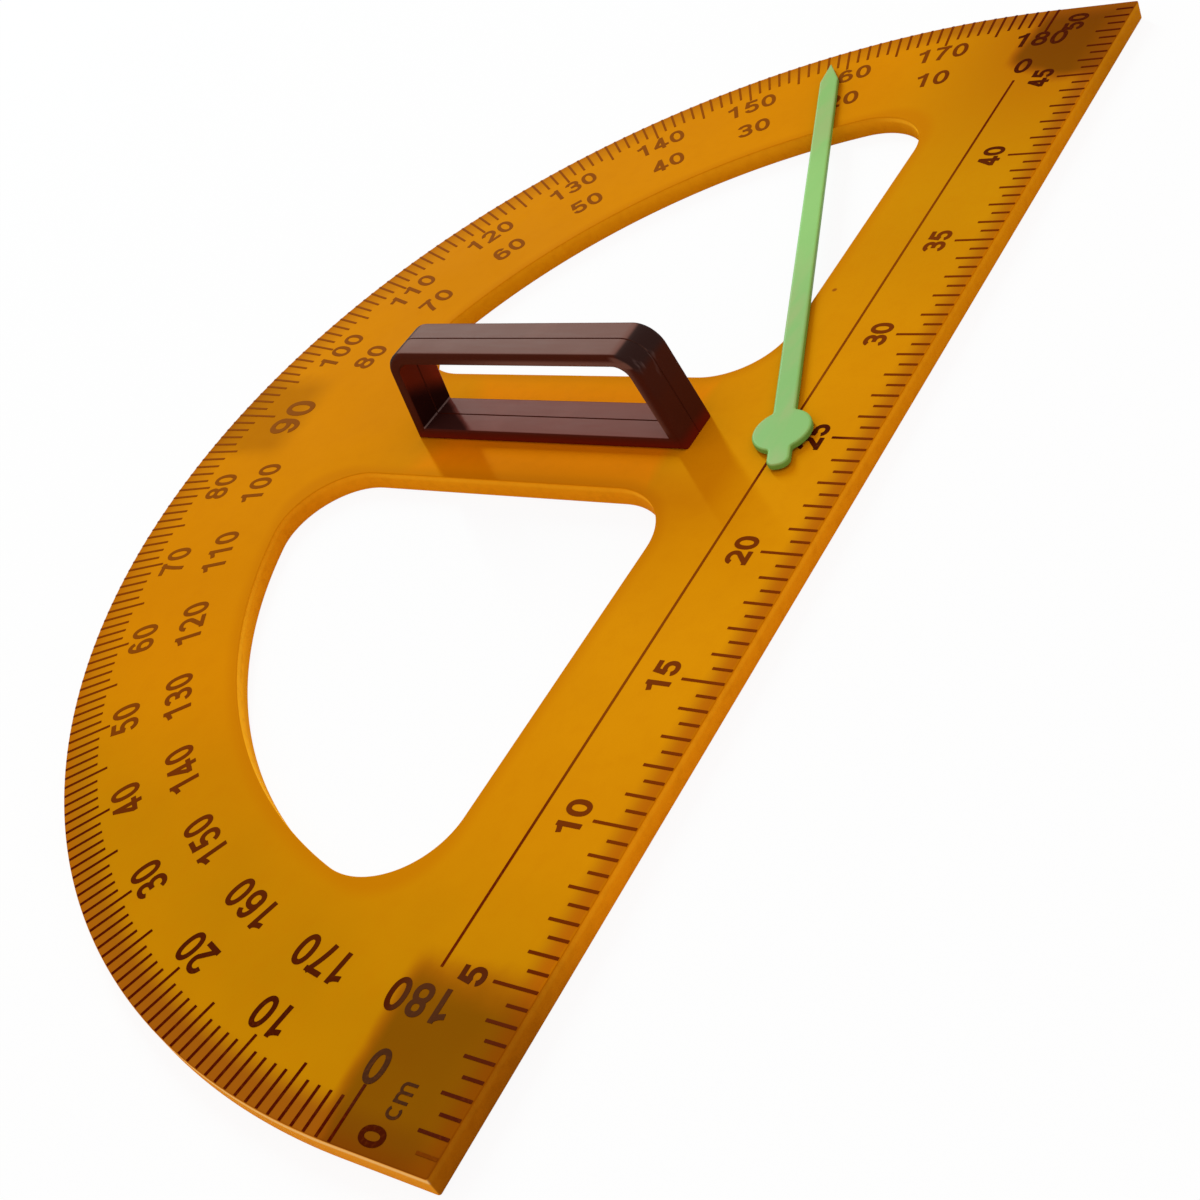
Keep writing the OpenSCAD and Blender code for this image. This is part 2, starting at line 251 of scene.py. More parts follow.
def arc(centre, radius, start, end, step=3.0):
    """Points on a circle from one angle to another, in degrees."""
    count = max(2, math.ceil(abs(end - start) / step))
    points = []
    for index in range(count + 1):
        turn = math.radians(start + (end - start) * index / count)
        across = centre[0] + radius * math.cos(turn)
        upward = centre[1] + radius * math.sin(turn)
        points.append(Vector((across, upward)))
    return points


def closed(points):
    """A loop of points without repeats."""
    touching = 1e-7
    loop = []
    for point in points:
        if not loop or (point - loop[-1]).length > touching:
            loop.append(point)
    if (loop[0] - loop[-1]).length < touching:
        loop.pop()
    return loop


def mirrored(loop):
    """A loop mirrored across the middle line, with its direction kept."""
    return [Vector((-point.x, point.y)) for point in reversed(loop)]


def inset_loop(loop, distance):
    """A loop moved to its left by a distance, with mitred corners."""
    moved = []
    for index, here in enumerate(loop):
        way_in = (here - loop[index - 1]).normalized()
        way_out = (loop[(index + 1) % len(loop)] - here).normalized()
        left_in = Vector((-way_in.y, way_in.x))
        left_out = Vector((-way_out.y, way_out.x))
        mitre = (left_in + left_out) / (1 + left_in.dot(left_out))
        moved.append(here + mitre * distance)
    return moved


def edge_profile(low, high, low_round, high_round, steps=4, margin=0.3 * MM):
    """Insets and heights up a wall with rounded edges and a flat margin at each end."""
    profile = []
    quarter = [math.pi / 2 * index / steps for index in range(steps + 1)]
    if low_round:
        profile.append((low_round + margin, low))
        profile += [(low_round * (1 - math.sin(t)), low + low_round * (1 - math.cos(t))) for t in quarter]
    else:
        profile.append((0, low))
    if high_round:
        profile += [(high_round * (1 - math.cos(t)), high - high_round * (1 - math.sin(t))) for t in quarter]
        profile.append((high_round + margin, high))
    else:
        profile.append((0, high))
    return profile


def wall(bm, loop, profile):
    """Builds a wall up a loop whose material lies to its left, and returns its lowest and highest rings."""
    rings = []
    for inset, height in profile:
        rings.append([bm.verts.new((point.x, point.y, height)) for point in inset_loop(loop, inset)])
    for low, high in zip(rings, rings[1:]):
        for index in range(len(loop)):
            after = (index + 1) % len(loop)
            bm.faces.new((low[index], low[after], high[after], high[index]))
    return rings[0], rings[-1]


def cap(bm, *rings):
    """Fills the flat area between rings of points."""
    edges = [bm.edges.get((ring[index - 1], ring[index])) for ring in rings for index in range(len(ring))]
    bmesh.ops.triangle_fill(bm, use_beauty=True, use_dissolve=False, edges=edges)


def rounded_rectangle(low, high, radius):
    """A rectangle with round corners, run counterclockwise."""
    corners = [
        ((low[0] + radius, low[1] + radius), 180),
        ((high[0] - radius, low[1] + radius), 270),
        ((high[0] - radius, high[1] - radius), 0),
        ((low[0] + radius, high[1] - radius), 90),
    ]
    points = []
    for centre, start in corners:
        points += arc(centre, radius, start, start + 90, step=15)
    return closed(points)


def make_piece(bm, name, body, material, replaced=()):
    """Turns a mesh under construction into a named piece that rides on a body."""
    sharpest_smooth = math.radians(40)
    bmesh.ops.recalc_face_normals(bm, faces=bm.faces)
    mesh = bpy.data.meshes.new(name)
    bm.to_mesh(mesh)
    bm.free()
    mesh.polygons.foreach_set("use_smooth", [True] * len(mesh.polygons))
    mesh.set_sharp_from_angle(angle=sharpest_smooth)
    mesh.materials.append(material)
    piece = bpy.data.objects.new(name, mesh)
    bpy.context.scene.collection.objects.link(piece)
    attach(piece, body)
    if replaced:
        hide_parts(*replaced)


def dress(node, material):
    """Gives a solid of the frame a finish of its own."""
    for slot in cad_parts[node].material_slots:
        slot.material = material


# Shader nodes

class Wire:
    """A node's output, which adds Math nodes where it is used in sums."""

    def __init__(self, finish, socket):
        self.finish = finish
        self.socket = socket

    def math(self, operation, *values):
        """The result of one Math node."""
        inputs = dict(enumerate(values))
        return self.finish.node("ShaderNodeMath", {"operation": operation}, inputs)[0]

    def __add__(self, other):
        return self.math("ADD", self, other)

    __radd__ = __add__

    def __sub__(self, other):
        return self.math("SUBTRACT", self, other)

    def __rsub__(self, other):
        return self.math("SUBTRACT", other, self)

    def __mul__(self, other):
        return self.math("MULTIPLY", self, other)

    __rmul__ = __mul__

    def __abs__(self):
        return self.math("ABSOLUTE", self)

    def least(self, other):
        """The smaller of two values."""
        return self.math("MINIMUM", self, other)

    def most(self, other):
        """The larger of two values."""
        return self.math("MAXIMUM", self, other)

    def root(self):
        """The square root."""
        return self.math("SQRT", self)

    def ramp(self, low, high):
        """0 below the low value, 1 above the high one and a smooth rise between them."""
        settings = {"interpolation_type": "SMOOTHSTEP"}
        return self.finish.node("ShaderNodeMapRange", settings, {0: self, 1: low, 2: high})[0]

    def ramp_mm(self, low, high):
        """A ramp between two lengths in millimetres."""
        return self.ramp(low * MM, high * MM)


class Outputs:
    """The outputs of one node by name or place."""

    def __init__(self, finish, node):
        self.finish = finish
        self.node = node

    def __getitem__(self, key):
        return Wire(self.finish, self.node.outputs[key])


class Finish:
    """A material under construction."""

    def __init__(self, name, owner=None):
        self.material = owner or bpy.data.materials.new(name)
        self.material.use_nodes = True
        self.tree = self.material.node_tree
        self.tree.nodes.clear()

    def node(self, kind, settings, inputs):
        """Adds a node, sets it up and fills its sockets with values or links."""
        node = self.tree.nodes.new(kind)
        for key, value in settings.items():
            setattr(node, key, value)
        for key, value in inputs.items():
            if isinstance(value, Wire):
                self.tree.links.new(value.socket, node.inputs[key])
            else:
                node.inputs[key].default_value = value
        return Outputs(self, node)

    def place(self):
        """The point in the piece's own frame, as a vector and its three parts."""
        point = self.node("ShaderNodeTexCoord", {}, {})["Object"]
        parts = self.node("ShaderNodeSeparateXYZ", {}, {0: point})
        return point, parts[0], parts[1], parts[2]

    def facing(self):
        """The three parts of the face's direction in the piece's own frame."""
        normal = self.node("ShaderNodeTexCoord", {}, {})["Normal"]
        parts = self.node("ShaderNodeSeparateXYZ", {}, {0: normal})
        return parts[0], parts[1], parts[2]

    def stretched(self, point, stretch, turn=0.0):
        """The point scaled along its own axes, for textures with a direction."""
        return self.node("ShaderNodeMapping", {}, {0: point, 2: (0, 0, turn), 3: stretch})[0]

    def noise(self, point, size, detail=2.0, roughness=0.5):
        """Soft noise whose features are about as wide as the given millimetres."""
        inputs = {"Vector": point, "Scale": 1 / (size * MM), "Detail": detail, "Roughness": roughness}
        return self.node("ShaderNodeTexNoise", {}, inputs)[0]

    def blend(self, share, first, second, way="MIX"):
        """A colour between two others, or the first one tinted by the second."""
        inputs = {0: share, 6: opaque(first), 7: opaque(second)}
        return self.node("ShaderNodeMix", {"data_type": "RGBA", "blend_type": way}, inputs)[2]

    def bump(self, height, strength, depth):
        """Small relief from a height between 0 and 1."""
        inputs = {"Height": height, "Strength": strength, "Distance": depth}
        return self.node("ShaderNodeBump", {}, inputs)[0]

    def surface(self, base, roughness, normal=None, **constants):
        """Closes the material with one main shader."""
        inputs = {"Base Color": opaque(base), "Roughness": roughness}
        if normal is not None:
            inputs["Normal"] = normal
        for key, value in constants.items():
            inputs[key.replace("_", " ")] = value
        shader = self.node("ShaderNodeBsdfPrincipled", {}, inputs)[0]
        self.node("ShaderNodeOutputMaterial", {}, {"Surface": shader})
        return self.material


def opaque(value):
    """A colour with an alpha of 1, unless it is a link already."""
    return value if isinstance(value, Wire) else (*value[:3], 1.0)


# Finishes, with lengths in millimetres for the ramps and the noise

def magnet_shade(finish, point, x, y):
    """How much painted shade of the dark magnets shows through the plate, with soft outlines that wander."""
    wander_reach = 8 * MM
    wander = (finish.noise(point, size=14, detail=3) - 0.5) * wander_reach
    across = abs(x)
    rightward = x.ramp_mm(-50, 50)

    low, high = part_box("magnet_right")
    inward = across - low[0]
    corner_height = -16 * MM
    corner_slope = 0.6
    corner_start = 1 * MM
    cut_corner = rightward * ((y - corner_height).most(0) * corner_slope + corner_start)
    beyond = (inward - cut_corner + wander).ramp_mm(-8, 8 - 6 * rightward)
    upper_slope = 0.08
    upper_wander = wander * 0.4
    above = (y - high[1] + inward.most(0) * upper_slope + upper_wander).ramp_mm(-1.5, 5.5)
    pale_chord = (1 - (y - low[1]).ramp_mm(-3, 10)) * (0.12 + 0.18 * rightward)
    pale_end = (x - high[0]).ramp_mm(-8, 2) * 0.35
    end_strength = 0.92 + 0.08 * rightward - pale_chord.most(pale_end)
    end_patch = beyond * (1 - above) * end_strength

    low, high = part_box("magnet_top")
    lean = 0.1
    beside = (across - high[0] + wander).ramp_mm(-8, 4)
    within = (y - low[1] - x * lean + wander).ramp_mm(-6, 11)
    top_strength = 0.42
    return end_patch.most((1 - beside) * within * top_strength)


def window_gap(plate, x, y):
    """Distance of a point on the plate from the edge of the nearest window."""
    corner = plate.window_corner
    reach = BOARD_HIGH[0] - plate.rim_width - corner
    past_web = (plate.web_width / 2 + corner - abs(x)).most(0)
    past_sill = (plate.sill + corner - y).most(0)
    past_reach = ((x * x + y * y).root() - reach).most(0)
    return (past_web * past_web + past_sill * past_sill + past_reach * past_reach).root() - corner


def face_tone(finish, plate, point, x, y, printed, shade):
    """Colour of the plate's faces: broad tones from end to end, painted light round the handle, painted shade
    beside the edges, a painted redder rim round the magnets' shade, print bands and a speck.
    """
    upward = y.most(0)
    rightward = x.ramp_mm(-70, 90)
    from_rim = BOARD_HIGH[0] - (x * x + upward * upward).root()
    from_chord = y - BOARD_LOW[1]
    cloud = finish.noise(point, size=60, detail=3).ramp(0.35, 0.7)
    mottle = finish.noise(point, size=5, detail=4).ramp(0.4, 0.8)

    by_ruler = finish.blend(x.ramp_mm(20, 130), plate.amber_ruler, plate.amber_pale)
    face = finish.blend(y.ramp_mm(0, 70), by_ruler, plate.amber)
    dull_lean = 0.15
    dull_end = (upward * dull_lean - x).ramp_mm(140, 220) * (0.75 + 0.25 * cloud)
    face = finish.blend(dull_end, face, plate.amber_low)
    foot_low, foot_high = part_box("handle_right")
    far_start = foot_high[1] - 25 * MM
    near_start = foot_low[1] + 12 * MM
    near_steepness = 3
    past_foot = y - far_start
    before_foot = near_steepness * (near_start - y)
    beside_foot = before_foot.most(past_foot).most(abs(x) - foot_high[0])
    # Painted light on the web round the handle's foot, to offset the handle's shade there.
    web = 1 - beside_foot.ramp_mm(4, 24)
    face = finish.blend(web * printed, face, plate.amber_web)
    red_end = x.ramp_mm(110, 250) * (1 - y.ramp_mm(-10, 60))
    face = finish.blend(red_end.most(cloud * 0.15), face, plate.amber_deep)

    # Painted shade in bands beside the outline and the windows, with a little random mottle.
    outline_shade = 1 - from_rim.least(from_chord).ramp(0, plate.edge_band)
    window_shade = 0.5 - 0.5 * window_gap(plate, x, y).ramp(0, plate.edge_band)
    face = finish.blend(outline_shade.most(window_shade).most(mottle * 0.12), face, plate.amber_edge)

    by_chord = from_chord.ramp_mm(0.2, 1.2) * (1 - from_chord.ramp_mm(2.5, 9))
    by_rim = 1 - from_rim.ramp(5 * MM, plate.scale_band)
    chord_share = 0.65 - 0.2 * rightward + 0.35 * x.ramp_mm(130, 190)
    low_left = (1 - y.ramp_mm(60, 220)) * (1 - rightward)
    low_right = (1 - y.ramp_mm(15, 80)) * rightward
    rim_share = 0.3 + 0.65 * low_left + 0.5 * low_right
    clear_of_magnets = 1 - 0.6 * shade
    under_marks = (by_chord * chord_share).most(by_rim * rim_share) * clear_of_magnets
    between_marks = finish.blend(by_chord * (1 - rightward), plate.amber_marks, plate.amber_rust)
    face = finish.blend(under_marks * printed, face, between_marks)
    # Painted shade: a redder rim round the magnets' shade.
    shade_fringe = 2 * shade * (1 - shade) * (1 - y.ramp_mm(50, 90))
    face = finish.blend(shade_fringe * printed, face, plate.amber_rust)

    speck_x = x - plate.speck[0]
    speck_y = y - plate.speck[1]
    speck = 1 - (speck_x * speck_x + speck_y * speck_y).root().ramp_mm(0.5, 1.2)
    return finish.blend(speck * printed, face, plate.amber_marks)


def wall_tone(finish, plate, point, x, z, facing_x, facing_y):
    """Colour of the plate's cut walls, painted paler for light through the plate and most on the walls facing
    the key lamp at the ruler's start, with painted shade lower down and a painted highlight near the top.
    """
    depth = BOARD_HIGH[2] - z
    leftward = 0 - x
    facing_left = 0 - facing_x
    rightward = x.ramp_mm(-70, 90)
    # Painted light on the walls that face the key lamp towards the ruler's start, with painted shade lower
    # down on them.
    lit_walls = facing_x.ramp(0.35, 0.75) * leftward.ramp_mm(-10, 130)
    tone = finish.blend(lit_walls, plate.wall, plate.wall_bright)
    tone = finish.blend(rightward * 0.4, tone, plate.amber_low)
    lower_shade = lit_walls * depth.ramp_mm(2.8, 5) * 0.4
    blotches = finish.noise(point, size=3, detail=4).ramp(0.4, 0.75) * 0.3
    tone = finish.blend(blotches.most(lower_shade), tone, plate.amber_edge)
    # Painted light on the walls that face left, for light shining through the plate.
    shone_on = facing_left.ramp(0.3, 0.9) * (1 - rightward * depth.ramp_mm(2, 5.5))
    tone = finish.blend(shone_on * 0.25, tone, plate.wall_bright)

    # Painted highlight just under the top edge of the walls, strongest on the lit walls and where the walls
    # turn into the window corners.
    crest = depth.ramp_mm(0.1, 0.8) * (1 - depth.ramp_mm(1.4, 2.6))
    glint = facing_left.ramp(0.1, 0.4) * facing_y.ramp(-0.25, 0.5)
    highlight_share = 0.2 - 0.1 * rightward + 0.5 * lit_walls + 0.7 * glint
    tone = finish.blend(crest * highlight_share, tone, plate.crest)
    # Painted highlight on the walls of the plate's left end.
    left_end = facing_left.ramp(0.5, 0.9) * leftward.ramp_mm(215, 240)
    pale_share = 0.05 + 0.7 * crest
    return finish.blend(left_end * pale_share, tone, plate.crest_pale)


def amber_finish(plate):
    """Translucent amber plastic, painted paler on its cut walls for light through the plate, with painted
    light round the handle and painted shade beside its edges and over the magnets.
    """
    finish = Finish("amber_plastic")
    point, x, y, z = finish.place()
    facing_x, facing_y, facing_z = finish.facing()
    printed = facing_z.ramp(0.3, 0.7)
    level = abs(facing_z).ramp(0.35, 0.85)
    shade = magnet_shade(finish, point, x, y)
    face = face_tone(finish, plate, point, x, y, printed, shade)
    side = wall_tone(finish, plate, point, x, z, facing_x, facing_y)
    base = finish.blend(level, side, face)

    # Painted shade of the magnets on the ends of the chord wall and on the faces over them.
    end_share = 0.95 - 0.55 * x.ramp_mm(-70, 90)
    chord_shade = abs(x).ramp_mm(165, 218) * end_share * (0 - facing_y).ramp(0.3, 0.8)
    base = finish.blend(chord_shade.most(shade * printed), base, plate.patch, "MULTIPLY")

    hair_stretch = (1, 14, 1)
    hair_turn = 0.5
    hairs = finish.noise(finish.stretched(point, hair_stretch, hair_turn), size=9, detail=4)
    grain = finish.noise(point, size=1.6, detail=2)
    haze = finish.noise(point, size=25, detail=4)
    roughness = 0.5 + 0.12 * haze + 0.08 * hairs.ramp(0.55, 0.75)
    relief = finish.bump(hairs * 0.7 + grain * 0.3, strength=0.06, depth=0.2 * MM)
    amber_gloss = (1.0, 0.62, 0.12, 1.0)
    return finish.surface(base, roughness, relief, Specular_IOR_Level=0.002, Specular_Tint=amber_gloss)


def print_finish(name, inks, rubbed_span, faint_mask, veil_tone, veil_share=1.0, ruler_lead=0):
    """Stamped print with a fine mottle, lighter where it is rubbed or faint and greyer over the magnets.

    The rubbed span gives the places in millimetres where the wear begins and is full, and where it
    begins to end and ends. On the ruler the wear begins earlier by the ruler's lead.
    """
    ink, rubbed_ink, faint_ink = inks
    start, full, fading, end = rubbed_span
    finish = Finish(name)
    point, x, y, _ = finish.place()
    thin = finish.noise(point, size=1.2, detail=4).ramp(0.45, 0.8)
    on_ruler = 1 - y.ramp_mm(-20, -5)
    low = 1 - y.ramp_mm(10, 40)
    by_hub = 1 - (x * x + y * y).root().ramp_mm(17, 25)
    # The ink stays at its darkest near the hub and low down towards the right end.
    kept_dark = (low * x.ramp_mm(fading, end)).most(by_hub)
    rubbed = (x + ruler_lead * MM * on_ruler).ramp_mm(start, full) * (1 - kept_dark)
    base = finish.blend(rubbed.most(thin * 0.4), ink, rubbed_ink)
    base = finish.blend(faint_mask(x, y) * (0.8 + 0.2 * thin), base, faint_ink)
    veiled = x.ramp_mm(-243, -240) * (1 - x.ramp_mm(60, 140)) * veil_share
    base = finish.blend(magnet_shade(finish, point, x, y) * veiled, base, veil_tone, "ADD")
    relief = finish.bump(finish.noise(point, size=0.5, detail=2), strength=0.15, depth=0.05 * MM)
    roughness = 0.5 + 0.15 * thin
    return finish.surface(base, roughness, relief, Specular_IOR_Level=0.002)


def number_finish(print_settings):
    """Ink of the numbers, faint along the far rim."""
    def faint(x, y):
        faint_lean = 0.35
        return (y + x * faint_lean).ramp_mm(60, 200) * y.ramp_mm(15, 50)
    inks = (print_settings.number_ink, print_settings.number_worn, print_settings.number_faint)
    rubbed_span = (-235, -140, 110, 175)
    return print_finish("number_print", inks, rubbed_span, faint, print_settings.veil)


def mark_finish(print_settings):
    """Ink of the marks, faint along the right of the rim and at the ruler's first mark."""
    def faint(x, y):
        far_rim = x.ramp_mm(-190, 40) * y.ramp_mm(40, 110)
        first_mark = (1 - x.ramp_mm(-244, -241)) * (1 - y.ramp_mm(-20, -10))
        return far_rim.most(first_mark * 0.6)
    inks = (print_settings.mark_ink, print_settings.mark_worn, print_settings.mark_faint)
    rubbed_span = (-210, -110, 75, 275)
    return print_finish(
        "mark_print", inks, rubbed_span, faint, print_settings.veil, veil_share=0.4, ruler_lead=35)


def line_finish(print_settings):
    """Ink of the base line, worn along its middle and faint beside the pointer's hub."""
    def faint(x, y):
        beside_hub = 24 * MM
        return 0.5 - 0.5 * abs(x - beside_hub).ramp_mm(4, 14)
    inks = (print_settings.line_ink, print_settings.line_worn, print_settings.mark_faint)
    rubbed_span = (-175, -110, 110, 180)
    return print_finish("line_print", inks, rubbed_span, faint, print_settings.veil, veil_share=0.3)


def handle_finish(handle):
    """Dark satin plastic with a moulded grain, paler on top from fading and painted sheen, with painted shade
    at its bends, a painted shadow in one corner, painted light from the plate near the foot and inside the
    far leg, and painted highlights and scuffs on its edges.
    """
    finish = Finish("handle_satin")
    point, x, y, z = finish.place()
    facing_x, facing_y, facing_z = finish.facing()
    low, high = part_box("handle_right")
    above_plate = z - low[2]
    from_far = high[1] - y
    high_up = above_plate.ramp_mm(10, 26)

    rubbed = finish.noise(point, size=18, detail=5, roughness=0.6).ramp(0.5, 0.8)
    base = finish.blend(rubbed * 0.5, handle.maroon, handle.maroon_worn)
    # Painted light from the plate on the foot.
    near_foot = 1 - above_plate.ramp_mm(0, 6)
    base = finish.blend(near_foot * 0.8, base, handle.foot_glow)
    # Painted light on the far leg's inner face, lit through and from the plate.
    far_inner = (0 - facing_y).ramp(0.6, 0.9) * (1 - from_far.ramp_mm(30, 40))
    light_lean = 0.6
    lit_through = (above_plate + light_lean * x).ramp_mm(12, 21)
    glow_share = 0.55 + 0.45 * x.ramp(low[0], high[0])
    base = finish.blend(far_inner * lit_through * glow_share, base, handle.inner_glow)

    # Painted sheen on the upper faces, partly fading too.
    upper = facing_z.ramp(0.9, 0.985)
    faded = finish.blend(high_up, handle.faded_low, handle.faded)
    base = finish.blend(upper * (0.85 + 0.15 * rubbed), base, faded)
    # Painted shade on the upper bends.
    rounded = facing_z.ramp(0.05, 0.5) * (1 - facing_z.ramp(0.94, 0.99)) * abs(facing_y).ramp(0.15, 0.35)
    bend = rounded * above_plate.ramp_mm(17, 23)
    base = finish.blend(bend * 0.9, base, handle.bend)
    # Pale streaks on the bends, partly painted glints and partly scuffs.
    glint_and_scuff_stretch = (3, 1, 1)
    scuffs = finish.noise(finish.stretched(point, glint_and_scuff_stretch), size=8, detail=2).ramp(0.6, 0.85)
    base = finish.blend(scuffs * bend * 0.5, base, handle.scuff)

    # Painted highlight along the lower edge of the grip bar and the edge of the near leg on the left side.
    left_side = (0 - facing_x).ramp(0.6, 0.9)
    bar_edge = above_plate.ramp_mm(32.5, 33.5) * (1 - above_plate.ramp_mm(35, 36.5))
    bar_highlight = bar_edge * from_far.ramp_mm(25, 70) * 0.6
    across_leg = y - low[1] - math.tan(handle.leg_lean) * above_plate
    leg_edge = across_leg.ramp_mm(1.5, 4.6) * (1 - across_leg.ramp_mm(6, 9))
    leg_highlight = leg_edge * above_plate.ramp_mm(5, 9) * 0.5
    base = finish.blend(left_side * bar_highlight.most(leg_highlight), base, handle.side_worn)

    # Painted shadow of the far leg on the foot's top, with a wobbly edge, and on the lower part of its inner
    # face; the roughness rises there too.
    shadow_wobble_reach = 3 * MM
    shadow_wobble = (finish.noise(point, size=7, detail=3) - 0.5) * shadow_wobble_reach
    wedge_slope = 1.3
    shadow_wedge = from_far - wedge_slope * (high[0] - x) + shadow_wobble
    corner = (1 - shadow_wedge.ramp_mm(1, 5)) * upper * (1 - high_up)
    grime = corner.most(far_inner * (1 - lit_through))
    base = finish.blend(grime * 0.85, base, handle.grime)
    # Painted highlight along the corner where the far leg meets the foot.
    crease_height = handle.foot_thickness + 0.4 * MM
    crease_glint = (1 - abs(above_plate - crease_height).ramp_mm(0.25, 0.6)) * far_inner
    base = finish.blend(crease_glint * 0.7, base, handle.scuff)

    grain = finish.noise(point, size=0.45, detail=2)
    streak_stretch = (8, 1, 8)
    streaks = finish.noise(finish.stretched(point, streak_stretch), size=12, detail=3)
    relief = finish.bump(grain * 0.6 + streaks * 0.4, strength=0.12, depth=0.08 * MM)
    roughness = 0.45 + 0.12 * streaks + 0.4 * grime
    return finish.surface(base, roughness, relief, Specular_IOR_Level=0.02)


def pointer_finish(pointer):
    """Light green satin plastic, bleached in streaks towards the ends of the arm, with painted shade on its
    sides.
    """
    finish = Finish("pointer_satin")
    point, x, y, _ = finish.place()
    turn = -pointer.rest_angle
    flow_stretch = (1, 10, 10)
    bleach_stretch = (1, 3, 3)
    flow = finish.noise(finish.stretched(point, flow_stretch, turn), size=30, detail=4)
    bleach = finish.noise(finish.stretched(point, bleach_stretch, turn), size=24, detail=2)
    along = (x * x + y * y).root()
    middle = along.ramp_mm(60, 120) * (1 - along.ramp_mm(150, 190))
    base = finish.blend(bleach.ramp(0.35, 0.65), pointer.green_deep, pointer.green_faded)
    base = finish.blend(middle * (0.75 + 0.25 * flow), base, pointer.green)
    # Painted shade on the sides.
    upper = finish.facing()[2].ramp(0.3, 0.8)
    base = finish.blend(upper, pointer.green_side, base)
    grain = finish.noise(point, size=0.5, detail=2)
    relief = finish.bump(grain * 0.5 + flow * 0.5, strength=0.1, depth=0.08 * MM)
    roughness = 0.36 + 0.1 * flow
    return finish.surface(base, roughness, relief, Specular_IOR_Level=0.06)


def steel_finish(hardware):
    """Zinc plated steel with fine turning marks."""
    finish = Finish("zinc_steel")
    point = finish.place()[0]
    brush_stretch = (1, 12, 1)
    brush_turn = 0.7
    brushed = finish.noise(finish.stretched(point, brush_stretch, brush_turn), size=1.2, detail=3)
    stain = finish.noise(point, size=3, detail=3).ramp(0.4, 0.75)
    stain_tone = 0.72
    dulled = [stain_tone * part for part in hardware.steel]
    base = finish.blend(stain * 0.6, hardware.steel, dulled)
    relief = finish.bump(brushed, strength=0.15, depth=0.04 * MM)
    roughness = 0.28 + 0.2 * brushed
    return finish.surface(base, roughness, relief, Metallic=1.0)


def nylon_finish(hardware):
    """Natural nylon with a slight grain."""
    finish = Finish("washer_nylon")
    point = finish.place()[0]
    cloud = finish.noise(point, size=4, detail=3)
    yellowing = (1.0, 0.96, 0.82)
    yellowed = [share * part for share, part in zip(yellowing, hardware.nylon)]
    base = finish.blend(cloud.ramp(0.4, 0.7), hardware.nylon, yellowed)
    relief = finish.bump(finish.noise(point, size=0.4, detail=2), strength=0.12, depth=0.05 * MM)
    roughness = 0.5 + 0.1 * cloud
    return finish.surface(base, roughness, relief)


def rubber_finish(hardware):
    """Dark magnetic rubber with a fine rolled grain."""
    finish = Finish("magnet_rubber")
    point = finish.place()[0]
    roll_stretch = (10, 1, 1)
    rolled = finish.noise(finish.stretched(point, roll_stretch), size=6, detail=4)
    dust = finish.noise(point, size=1.2, detail=4).ramp(0.62, 0.8)
    dust_light = 0.05
    dusty = [part + dust_light for part in hardware.rubber]
    base = finish.blend(dust * 0.6 + rolled * 0.3, hardware.rubber, dusty)
    grain = finish.noise(point, size=0.6, detail=2)
    relief = finish.bump(rolled * 0.7 + grain * 0.3, strength=0.25, depth=0.1 * MM)
    roughness = 0.6 + 0.15 * rolled
    return finish.surface(base, roughness, relief, Specular_IOR_Level=0.3)


def foam_finish(hardware):
    """Pale adhesive foam with open pores."""
    finish = Finish("pad_foam")
    point = finish.place()[0]
    # Painted shade in the pores, which are painted darker.
    pores = finish.noise(point, size=0.7, detail=3).ramp(0.5, 0.72)
    pore_tone = 0.6
    darker = [pore_tone * part for part in hardware.foam]
    base = finish.blend(pores, hardware.foam, darker)
    relief = finish.bump(pores, strength=0.4, depth=0.1 * MM)
    roughness = 0.85
    return finish.surface(base, roughness, relief, Specular_IOR_Level=0.2)


# Numbers drawn as strokes in a cell of height 1

def oval(centre, radii, start, end, step=9.0, squareness=2.2):
    """Points on an oval from one angle to another, in degrees, a little squarer than an ellipse."""
    power = 2 / squareness
    points = []
    for point in arc((0, 0), 1, start, end, step):
        across = math.copysign(abs(point.x) ** power, point.x)
        upward = math.copysign(abs(point.y) ** power, point.y)
        points.append(Vector((centre[0] + radii[0] * across, centre[1] + radii[1] * upward)))
    return points


def curve(start, pull, end, steps=8):
    """Points on a curve that leaves its start towards a pull point and comes from there to its end."""
    points = []
    for index in range(steps + 1):
        share = index / steps
        points.append(start * (1 - share) ** 2 + pull * 2 * share * (1 - share) + end * share ** 2)
    return points


def line(*points):
    """A straight centre line through the given points."""
    return [Vector(point) for point in points]


